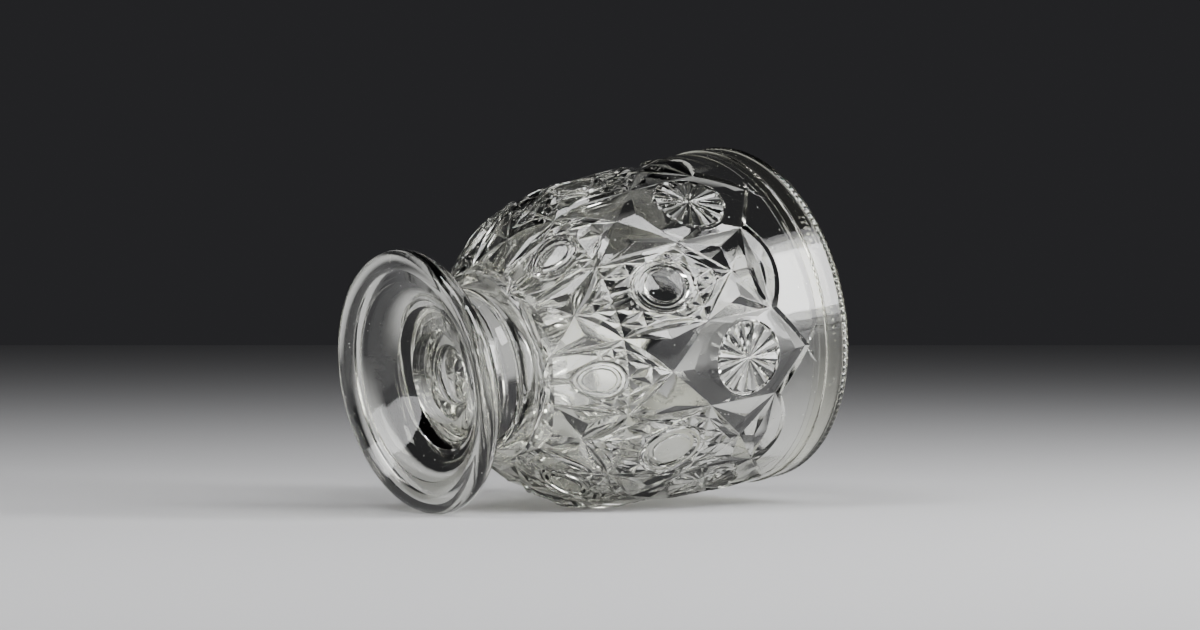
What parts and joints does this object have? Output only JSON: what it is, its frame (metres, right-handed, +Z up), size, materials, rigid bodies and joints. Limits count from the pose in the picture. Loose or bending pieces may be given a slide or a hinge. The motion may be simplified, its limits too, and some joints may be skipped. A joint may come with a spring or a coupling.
{
  "type": "footed pressed glass jar",
  "caption": "Open footed jar of clear pressed glass: dished bell foot, short ringed stem, deep patterned bowl, plain band and toothed lip.",
  "frame": {"origin": "centre of the foot's rest ring, on the surface that the jar stands on", "axes": "+Z up the jar's axis, from the foot to the mouth; X and Y are any two level directions"},
  "size_m": [0.1086, 0.1086, 0.13],
  "materials": {
    "clear_glass": "fire-polished clear pressed glass",
    "rim_glass": "fire-polished clear pressed glass, straw tint in the thick edge"
  },
  "bodies": {
    "root": {"foot": "clear_glass", "stem": "clear_glass", "wafer": "clear_glass", "bowl": "clear_glass", "rim_band": "rim_glass"}
  },
  "joints": []
}
